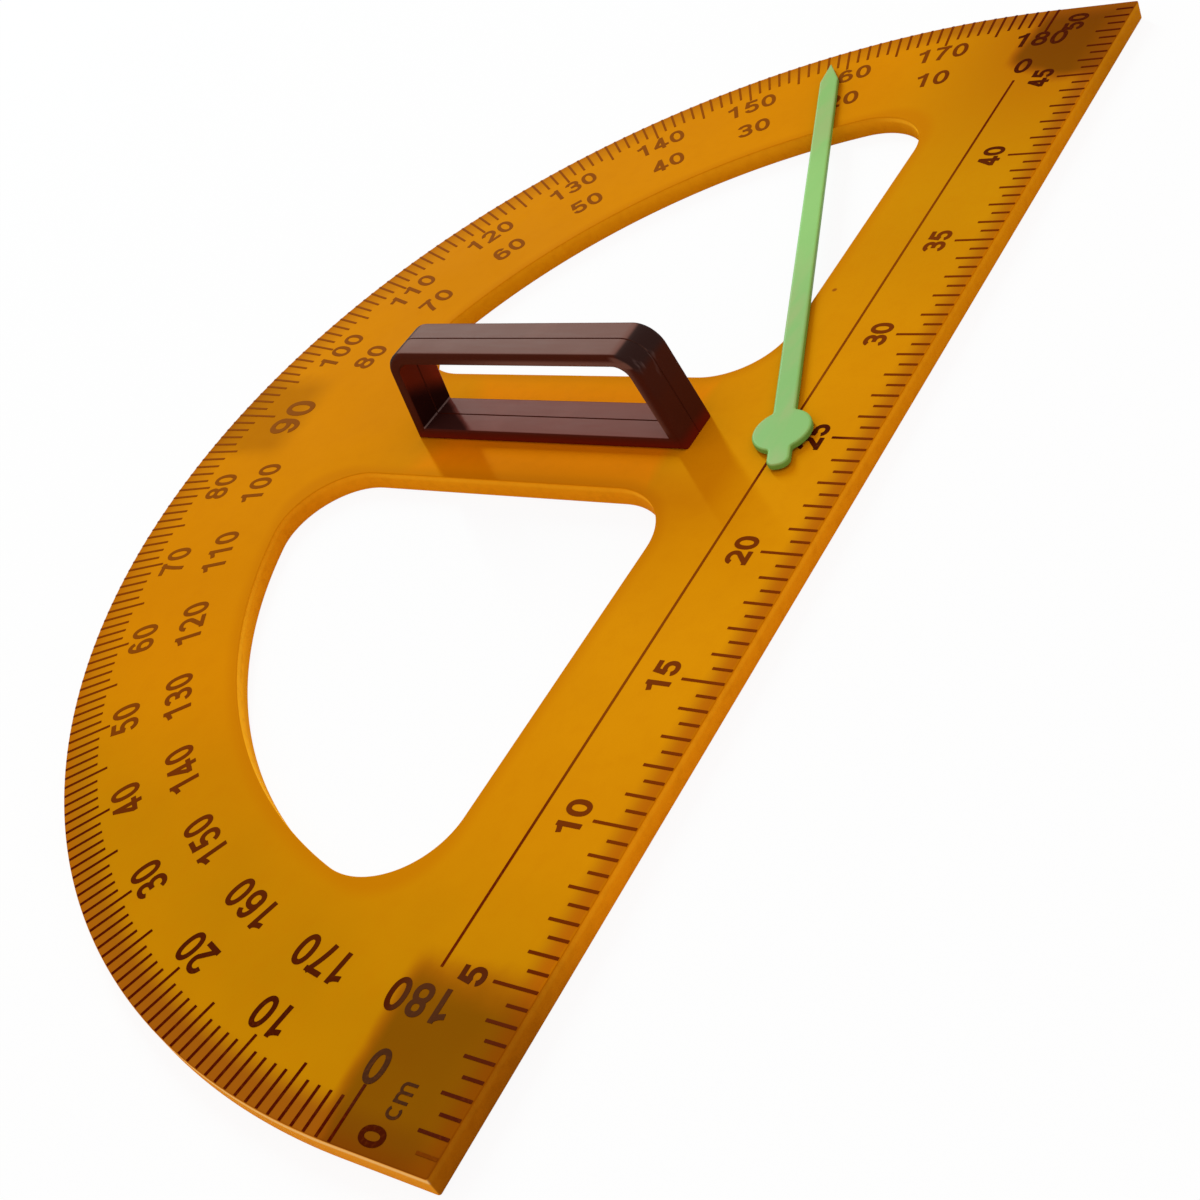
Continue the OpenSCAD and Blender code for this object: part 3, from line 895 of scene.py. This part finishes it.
def digit_strokes(width, weight):
    """Centre lines of the ten digits, for a cell width and a stroke weight."""
    half = weight / 2
    left = half
    right = width - half
    middle = width / 2
    wide = middle - half
    low = half
    high = 1 - half
    inner = 1 - weight

    def turned(path):
        """A path turned half round in its cell."""
        return [Vector((width - point.x, 1 - point.y)) for point in path]

    def ring(radius, height, share=1.0):
        """An oval round the middle of the cell at a height."""
        return oval((middle, height), (wide * share, radius), 0, 360)

    upper_r = inner * 0.235
    lower_r = inner / 2 - upper_r
    upper_y = high - upper_r
    lower_y = low + lower_r
    waist = Vector((middle - 0.1, high - 2 * upper_r))
    bowl_r = inner * 0.3
    bowl = ring(bowl_r, low + bowl_r)
    spine = oval((middle, 0.5), (wide, 0.5 - half), 215, 38)
    five_r = inner * 0.305
    two_r = inner * 0.29
    one_stem = 0.74 * width - half
    one_flag = [(one_stem, high), (one_stem - 0.08, 0.79), (left - half * 0.4, 0.74)]
    four_stem = 0.78 * width - half
    four_bar = 0.26
    five_start = 0.17 * width
    seven_leg = [(right, 1), (middle - 0.02, 0.55), (0.36 * width, 0)]
    return {
        "0": [ring(0.5 - half, 0.5)],
        "1": [line((one_stem, 0), (one_stem, 1)), curve(*line(*one_flag))],
        "2": [
            oval((middle, high - two_r), (wide, two_r), 172, -32) + line((left + 0.03, low + 0.02)),
            line((0, low), (width, low)),
        ],
        "3": [
            oval((middle, upper_y), (wide * 0.94, upper_r), 165, -90) + [waist],
            [waist] + oval((middle, lower_y), (wide, lower_r), 90, -165),
        ],
        "4": [
            line((four_stem, 0), (four_stem, 1)),
            line((0, four_bar), (width + 0.02, four_bar)),
            line((four_stem, 0.96), (left * 0.7, four_bar)),
        ],
        "5": [
            line((five_start, high), (0.94 * width, high)),
            line((five_start + half, 1), (left + 0.02, 0.47)),
            oval((middle, low + five_r), (wide, five_r), 140, -165),
        ],
        "6": [bowl, spine],
        "7": [line((0, high), (width, high)), curve(*line(*seven_leg))],
        "8": [ring(upper_r, upper_y, 0.9), ring(lower_r, lower_y)],
        "9": [turned(bowl), turned(spine)],
    }


def letter_strokes(weight):
    """Centre lines of a small c and a small m on a line of height 1."""
    half = weight / 2
    tall = 0.56
    bend = 0.15
    bowl_x = 0.23
    bowl_y = tall / 2
    feet = (half, half + 2 * bend, half + 4 * bend)
    arms = [line((feet[0], 0), (feet[0], tall))]
    for foot in feet[1:]:
        hook = oval((foot - bend, tall - half - bend), (bend, bend), 160, 0)
        arms.append(hook + line((foot, 0)))
    return {"c": [oval((bowl_x, bowl_y), (bowl_x - half, bowl_y - half), 48, 312)], "m": arms}


def stroke_quads(points, half):
    """Four-sided faces along a centre line."""
    touching = 1e-6
    ring = (points[0] - points[-1]).length < touching
    ends = (0, len(points) - 1)
    sides = []
    for index, here in enumerate(points):
        before = points[max(index - 1, 0)]
        after = points[min(index + 1, len(points) - 1)]
        if ring and index in ends:
            before = points[-2]
            after = points[1]
        way = (after - before).normalized()
        out = Vector((-way.y, way.x)) * half
        sides.append((here + out, here - out))
    quads = []
    for (left_a, right_a), (left_b, right_b) in zip(sides, sides[1:]):
        quads.append([right_a, right_b, left_b, left_a])
    return quads


def glyph(strokes, weight):
    """Corner points and triangles of a character whose strokes are joined into one flat shape."""
    inside_only = 1
    touching = 1e-5
    corners = []
    faces = []
    for path in strokes:
        for quad in stroke_quads(path, weight / 2):
            faces.append(list(range(len(corners), len(corners) + 4)))
            corners += quad
    points, _, triangles, _, _, sources = delaunay_2d_cdt(
        corners, [], faces, inside_only, touching)
    filled = [triangle for triangle, source in zip(triangles, sources) if source]
    return points, filled


def print_shape(bm, shape, place, height, low, high):
    """Adds a flat shape to a mesh as a thin raised film."""
    points, triangles = shape
    used = sorted({index for triangle in triangles for index in triangle})
    film = {}
    for level in (low, high):
        for index in used:
            spot = place @ Vector((points[index].x * height, points[index].y * height, 0))
            film[index, level] = bm.verts.new((spot.x, spot.y, level))
    rims = {}
    for triangle in triangles:
        bm.faces.new([film[index, high] for index in triangle])
        bm.faces.new([film[index, low] for index in reversed(triangle)])
        for index in range(3):
            edge = (triangle[index], triangle[(index + 1) % 3])
            if edge[::-1] in rims:
                del rims[edge[::-1]]
            else:
                rims[edge] = True
    for first, second in rims:
        bm.faces.new((film[first, low], film[second, low], film[second, high], film[first, high]))


class Lettering:
    """A set of characters of one weight that prints words as thin films on the plate."""

    def __init__(self, width, weight, advance):
        self.width = width
        self.advance = advance
        self.shapes = {key: glyph(paths, weight) for key, paths in digit_strokes(width, weight).items()}

    def word(self, bm, text, middle, up, height, low, high):
        """Prints a word centred on a point, with the given upward direction."""
        right = Vector((up.y, -up.x))
        span = (len(text) - 1) * self.advance + self.width
        for index, character in enumerate(text):
            start = middle + right * (index * self.advance - span / 2) * height - up * height / 2
            place = Matrix((
                (right.x, up.x, 0, start.x),
                (right.y, up.y, 0, start.y),
                (0, 0, 1, 0),
                (0, 0, 0, 1)))
            print_shape(bm, self.shapes[character], place, height, low, high)


# Outlines of the plate

def window_loop(plate):
    """The right window's outline, run counterclockwise."""
    corner = plate.window_corner
    window_r = BOARD_HIGH[0] - plate.rim_width
    inner_x = plate.web_width / 2 + corner
    inner_y = plate.sill + corner
    reach = window_r - corner
    outer = Vector((math.sqrt(reach ** 2 - inner_y ** 2), inner_y))
    upper = Vector((inner_x, math.sqrt(reach ** 2 - inner_x ** 2)))
    outer_turn = math.degrees(math.atan2(outer.y, outer.x))
    upper_turn = math.degrees(math.atan2(upper.y, upper.x))
    points = arc((inner_x, inner_y), corner, 180, 270)
    points += arc(outer, corner, 270, 360 + outer_turn)
    points += arc((0, 0), window_r, outer_turn, upper_turn, step=0.75)
    points += arc(upper, corner, upper_turn, 180)
    return closed(points)


def board_loop(plate):
    """The plate's outline, run counterclockwise."""
    board_r = BOARD_HIGH[0]
    chord = BOARD_LOW[1]
    corner = plate.chord_corner
    points = arc((0, 0), board_r, 0, 180, step=0.5)
    points += arc((corner - board_r, chord + corner), corner, 180, 270, step=15)
    points += arc((board_r - corner, chord + corner), corner, 270, 360, step=15)
    return closed(points)


# Operators, one for each piece or group of like pieces

class PROTRACTOR_OT_plate(bpy.types.Operator):
    """Build the amber plate with its windows, holes and magnet pockets"""
    bl_idname = "protractor.plate"
    bl_label = "Amber plate"

    def execute(self, context):
        plate = context.scene.protractor_plate
        top = BOARD_HIGH[2]
        bm = bmesh.new()
        low_rings = []
        high_rings = []
        edge = edge_profile(0, top, plate.edge_round, plate.edge_round)
        window = window_loop(plate)
        for loop in (board_loop(plate), window[::-1], mirrored(window)[::-1]):
            low, high = wall(bm, loop, edge)
            low_rings.append(low)
            high_rings.append(high)

        lip = 0.15 * MM
        step = plate.recess - plate.bore
        pivot_profile = [
            (step, 0), (step, plate.recess_depth), (0, plate.recess_depth), (0, top - lip), (lip, top)]
        low, high = wall(bm, closed(arc((0, 0), plate.bore, 360, 0, step=6)), pivot_profile)
        low_rings.append(low)
        high_rings.append(high)

        cone = plate.countersink - plate.screw_hole
        cone_end = plate.countersink_start + plate.countersink_depth
        screw_profile = [(cone, 0), (cone, plate.countersink_start), (0, cone_end), (0, top)]
        box_low, box_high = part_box("handle_screws")
        head_play = 0.15 * MM
        head_r = plate.countersink - head_play
        for x in (box_low[0] + head_r, box_high[0] - head_r):
            for y in (box_low[1] + head_r, box_high[1] - head_r):
                low, high = wall(bm, closed(arc((x, y), plate.screw_hole, 360, 0, step=12)), screw_profile)
                low_rings.append(low)
                high_rings.append(high)

        for name in ("left", "right", "top"):
            magnet_low, magnet_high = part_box("magnet_" + name)
            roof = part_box("magnet_pad_" + name)[1][2]
            gap = plate.pocket_clearance
            pocket = rounded_rectangle(
                (magnet_low[0] - gap, magnet_low[1] - gap), (magnet_high[0] + gap, magnet_high[1] + gap), gap)
            low, high = wall(bm, pocket[::-1], [(0, 0), (0, roof)])
            low_rings.append(low)
            cap(bm, high)
        cap(bm, *low_rings)
        cap(bm, *high_rings)
        make_piece(bm, "amber_plate", "plate", amber_finish(plate), ["board"])
        return {"FINISHED"}


class PROTRACTOR_OT_scales(bpy.types.Operator):
    """Print the degree numbers and the ruler numbers and ink the marks"""
    bl_idname = "protractor.scales"
    bl_label = "Printed scales"

    def execute(self, context):
        settings = context.scene.protractor_print
        ink = number_finish(settings)
        mark_ink = mark_finish(settings)
        dress("degree_scale", mark_ink)
        dress("ruler_scale", mark_ink)
        dress("base_line", line_finish(settings))
        top = BOARD_HIGH[2]
        sunk = 0.02 * MM
        low = top - sunk
        high = top + settings.film

        degrees = bmesh.new()
        plain = Lettering(width=0.62, weight=0.166, advance=0.75)
        for mark in range(0, 181, 10):
            turn = math.radians(180 - mark)
            up = Vector((math.cos(turn), math.sin(turn)))
            if mark == 90:
                plain.word(degrees, "90", up * settings.square_ring, up, settings.square_height, low, high)
                continue
            height = settings.degree_height
            plain.word(degrees, str(mark), up * settings.degree_outer, up, height, low, high)
            plain.word(degrees, str(180 - mark), up * settings.degree_inner, up, height, low, high)
        make_piece(degrees, "degree_numbers", "plate", ink)

        ruler = bmesh.new()
        bold = Lettering(width=0.69, weight=0.198, advance=0.77)
        up = Vector((0, 1))
        height = settings.ruler_height
        centimetre = 10 * MM
        shifted = {0: 5 * MM, 50: -11 * MM}
        for mark in range(0, 51, 5):
            x = mark * centimetre - BOARD_HIGH[0] + shifted.get(mark, 0)
            bold.word(ruler, str(mark), Vector((x, -settings.ruler_line)), up, height, low, high)
        thin = 0.1
        foot = -settings.ruler_line - height / 2
        for letter, from_end in (("c", 10 * MM), ("m", 14.2 * MM)):
            shape = glyph(letter_strokes(thin)[letter], thin)
            place = Matrix.Translation((from_end - BOARD_HIGH[0], foot, 0))
            print_shape(ruler, shape, place, height, low, high)
        make_piece(ruler, "ruler_numbers", "plate", ink)
        return {"FINISHED"}


class PROTRACTOR_OT_handle(bpy.types.Operator):
    """Build the two halves of the carrying handle"""
    bl_idname = "protractor.handle"
    bl_label = "Carrying handle"

    def outline(self, foot_y, foot_z, corner_y, corner_z, radius, lean):
        """Trapezium with round top corners, run counterclockwise."""
        lean = math.degrees(lean)
        points = [Vector((-foot_y, foot_z)), Vector((foot_y, foot_z))]
        points += arc((corner_y, corner_z), radius, lean, 90, step=5)
        points += arc((-corner_y, corner_z), radius, 90, 180 - lean, step=5)
        return closed(points)

    def execute(self, context):
        handle = context.scene.protractor_handle
        low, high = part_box("handle_right")
        half_length = (high[1] - low[1]) / 2
        height = high[2] - low[2]
        half_width = high[0]
        lean = handle.leg_lean
        corner_z = height - handle.corner
        corner_y = half_length - (handle.corner + corner_z * math.sin(lean)) / math.cos(lean)
        foot_drift = handle.foot_thickness * math.sin(lean)
        hole_y = half_length - (handle.leg_thickness + foot_drift) / math.cos(lean)
        outer = self.outline(half_length, 0, corner_y, corner_z, handle.corner, lean)
        hole_r = handle.corner - handle.leg_thickness
        hole = self.outline(hole_y, handle.foot_thickness, corner_y, corner_z, hole_r, lean)
        middle = (low[1] + high[1]) / 2
        finish = handle_finish(handle)
        seam = handle.seam
        for name, turn in (("right", 0), ("left", math.pi)):
            bm = bmesh.new()
            outer_profile = edge_profile(0, half_width, 0, handle.edge_round)
            hole_profile = edge_profile(0, half_width, 0, handle.hole_round)
            outer_rings = wall(bm, outer, [(seam, 0), (0, seam)] + outer_profile[1:])
            hole_rings = wall(bm, hole[::-1], [(seam, 0), (0, seam)] + hole_profile[1:])
            cap(bm, outer_rings[0], hole_rings[0])
            cap(bm, outer_rings[1], hole_rings[1])
            stand_up = Matrix(((0, 0, 1, 0), (1, 0, 0, 0), (0, 1, 0, 0), (0, 0, 0, 1)))
            place = Matrix.Translation((0, middle, low[2])) @ Matrix.Rotation(turn, 4, "Z") @ stand_up
            bmesh.ops.transform(bm, matrix=place, verts=bm.verts)
            make_piece(bm, "handle_half_" + name, "plate", finish, ["handle_" + name])
        return {"FINISHED"}


class PROTRACTOR_OT_pointer(bpy.types.Operator):
    """Build the swinging pointer with its hub and boss"""
    bl_idname = "protractor.pointer"
    bl_label = "Swinging pointer"

    def outline(self, pointer):
        """Half of the arm, hub and tail on the left of the arm, mirrored to the whole."""
        side = pointer.arm_width / 2
        throat = pointer.throat
        join_y = side + throat
        join_r = pointer.hub + throat
        join_x = math.sqrt(join_r ** 2 - join_y ** 2)
        turn = math.degrees(math.atan2(join_y, join_x))
        corner = pointer.tail_corner
        points = [Vector((pointer.reach, 0)), Vector((pointer.reach - pointer.tip, side))]
        points += arc((join_x, join_y), throat, 270, 180 + turn, step=10)
        points += arc((0, 0), pointer.hub, turn, 180 - turn, step=4)
        points += arc((-join_x, join_y), throat, 360 - turn, 270, step=10)
        points += arc((corner - pointer.tail, side - corner), corner, 90, 180, step=10)
        lower = [Vector((point.x, -point.y)) for point in reversed(points)]
        return closed(points + lower)

    def execute(self, context):
        pointer = context.scene.protractor_pointer
        low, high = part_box("pointer")
        under = high[2] - pointer.thickness
        bm = bmesh.new()
        lower_round = 0.2 * MM
        profile = edge_profile(under, high[2], lower_round, pointer.edge_round)
        arm_low, arm_high = wall(bm, self.outline(pointer), profile)
        cap(bm, arm_high)
        chamfer = 0.3 * MM
        boss = closed(arc((0, 0), pointer.boss, 0, 360, step=6))
        boss_low, boss_high = wall(bm, boss, [(chamfer, low[2]), (0, low[2] + chamfer), (0, under)])
        cap(bm, arm_low, boss_high)
        hole = closed(arc((0, 0), pointer.boss_hole, 360, 0, step=12))
        hole_low, hole_high = wall(bm, hole, [(0, low[2]), (0, high[2] - pointer.boss_skin)])
        cap(bm, boss_low, hole_low)
        cap(bm, hole_high)
        bmesh.ops.rotate(bm, matrix=Matrix.Rotation(pointer.rest_angle, 3, "Z"), verts=bm.verts)
        finish = pointer_finish(pointer)
        make_piece(bm, "swing_pointer", "swing_arm", finish, ["pointer"])
        return {"FINISHED"}


class PROTRACTOR_OT_hardware(bpy.types.Operator):
    """Finish the screws and washers and build the magnets"""
    bl_idname = "protractor.hardware"
    bl_label = "Screws, washers and magnets"

    def execute(self, context):
        hardware = context.scene.protractor_hardware
        steel = steel_finish(hardware)
        for node in ("handle_screws", "pivot_screw", "pivot_washer"):
            dress(node, steel)
        dress("friction_washer", nylon_finish(hardware))
        rubber = rubber_finish(hardware)
        foam = foam_finish(hardware)
        for name in ("left", "right", "top"):
            dress("magnet_pad_" + name, foam)
            low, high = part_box("magnet_" + name)
            bm = bmesh.new()
            loop = rounded_rectangle(low, high, hardware.magnet_corner)
            profile = edge_profile(low[2], high[2], hardware.magnet_edge, hardware.magnet_edge)
            for ring in wall(bm, loop, profile):
                cap(bm, ring)
            make_piece(bm, "magnet_block_" + name, "plate", rubber, ["magnet_" + name])
        return {"FINISHED"}


class PROTRACTOR_OT_stage(bpy.types.Operator):
    """Set up the floor, the lamps and the camera"""
    bl_idname = "protractor.stage"
    bl_label = "Floor, lamps and camera"

    def seen(self, finish):
        """1 for rays that see the background directly, in gloss or through glass."""
        path = finish.node("ShaderNodeLightPath", {}, {})
        return path["Is Camera Ray"].most(path["Is Glossy Ray"]).most(path["Is Transmission Ray"])

    def floor(self, stage):
        """Lays a pale floor just under the plate, which shows as white and keeps the shadow."""
        below = 0.2 * MM
        paper_white = (0.9, 0.9, 0.9, 1)
        full_white = (1, 1, 1, 1)
        bm = bmesh.new()
        bmesh.ops.create_grid(bm, x_segments=8, y_segments=8, size=stage.floor_size)
        bmesh.ops.translate(bm, vec=(0, 0, -below), verts=bm.verts)
        mesh = bpy.data.meshes.new("floor")
        bm.to_mesh(mesh)
        bm.free()
        finish = Finish("pale_floor")
        paper = finish.node("ShaderNodeBsdfDiffuse", {}, {"Color": paper_white})[0]
        glow = finish.node("ShaderNodeEmission", {}, {"Color": full_white, "Strength": 1.0})[0]
        share = self.seen(finish) * stage.floor_glow
        mixed = finish.node("ShaderNodeMixShader", {}, {0: share, 1: paper, 2: glow})[0]
        finish.node("ShaderNodeOutputMaterial", {}, {"Surface": mixed})
        mesh.materials.append(finish.material)
        floor = bpy.data.objects.new("floor", mesh)
        bpy.context.scene.collection.objects.link(floor)

    def lamps(self, scene, stage):
        """Hangs a far strip lamp and lights the rest from a soft sky."""
        lamp = bpy.data.lights.new("key_lamp", "AREA")
        lamp.shape = "RECTANGLE"
        lamp.size = stage.key_width
        lamp.size_y = stage.key_height
        lamp.energy = stage.key_share * (math.pi * stage.key_distance) ** 2 / math.sin(stage.key_rise)
        lamp.color = stage.key_tone
        key = bpy.data.objects.new("key_lamp", lamp)
        flat = math.cos(stage.key_rise)
        towards = Vector((
            flat * math.cos(stage.key_turn), flat * math.sin(stage.key_turn), math.sin(stage.key_rise)))
        key.rotation_euler = towards.to_track_quat("Z", "Y").to_euler()
        key.location = towards * stage.key_distance
        scene.collection.objects.link(key)

        world = bpy.data.worlds.new("soft_sky")
        sky = Finish("soft_sky", world)
        seen = self.seen(sky)
        tone = sky.blend(seen, stage.sky_tone, (1, 1, 1))
        strength = stage.sky + seen * (1 - stage.sky)
        light = sky.node("ShaderNodeBackground", {}, {"Color": tone, "Strength": strength})[0]
        sky.node("ShaderNodeOutputWorld", {}, {"Surface": light})
        scene.world = world

    def camera(self, scene, stage):
        """Sets the camera where the photograph was taken from."""
        lens = bpy.data.cameras.new("camera")
        lens.sensor_fit = "HORIZONTAL"
        lens.sensor_width = 36
        lens.lens = stage.lens
        lens.shift_x = stage.shift_x
        lens.shift_y = stage.shift_y
        lens.clip_start = 0.01
        lens.clip_end = 50
        camera = bpy.data.objects.new("camera", lens)
        eye = Vector(stage.eye)
        turn = (Vector(stage.aim) - eye).to_track_quat("-Z", "Y").to_matrix().to_4x4()
        camera.matrix_world = Matrix.Translation(eye) @ turn @ Matrix.Rotation(-stage.roll, 4, "Z")
        scene.collection.objects.link(camera)
        scene.camera = camera

    def execute(self, context):
        scene = context.scene
        stage = scene.protractor_stage
        self.floor(stage)
        self.lamps(scene, stage)
        self.camera(scene, stage)
        scene.view_settings.view_transform = "Standard"
        return {"FINISHED"}


class PROTRACTOR_PT_panel(bpy.types.Panel):
    """Lists the steps that dress the protractor"""
    bl_idname = "PROTRACTOR_PT_panel"
    bl_label = "Board protractor"
    bl_space_type = "VIEW_3D"
    bl_region_type = "UI"
    bl_category = "Protractor"

    def draw(self, context):
        for operator in OPERATORS:
            self.layout.operator(operator.bl_idname)


# Registration

GROUPS = {
    "protractor_plate": PlateSettings,
    "protractor_print": PrintSettings,
    "protractor_handle": HandleSettings,
    "protractor_pointer": PointerSettings,
    "protractor_hardware": HardwareSettings,
    "protractor_stage": StageSettings,
}
OPERATORS = (
    PROTRACTOR_OT_plate,
    PROTRACTOR_OT_scales,
    PROTRACTOR_OT_handle,
    PROTRACTOR_OT_pointer,
    PROTRACTOR_OT_hardware,
    PROTRACTOR_OT_stage,
)


def register():
    """Adds the settings, the operators and the panel."""
    for group in GROUPS.values():
        bpy.utils.register_class(group)
    for name, group in GROUPS.items():
        setattr(bpy.types.Scene, name, PointerProperty(type=group))
    for operator in OPERATORS:
        bpy.utils.register_class(operator)
    bpy.utils.register_class(PROTRACTOR_PT_panel)


def unregister():
    """Takes out what was added, in reverse order."""
    bpy.utils.unregister_class(PROTRACTOR_PT_panel)
    for operator in reversed(OPERATORS):
        bpy.utils.unregister_class(operator)
    for name in GROUPS:
        delattr(bpy.types.Scene, name)
    for group in reversed(GROUPS.values()):
        bpy.utils.unregister_class(group)


def main():
    """Runs every operator."""
    register()
    for step in OPERATORS:
        family, name = step.bl_idname.split(".")
        getattr(getattr(bpy.ops, family), name)()


if __name__ == "__main__":
    main()
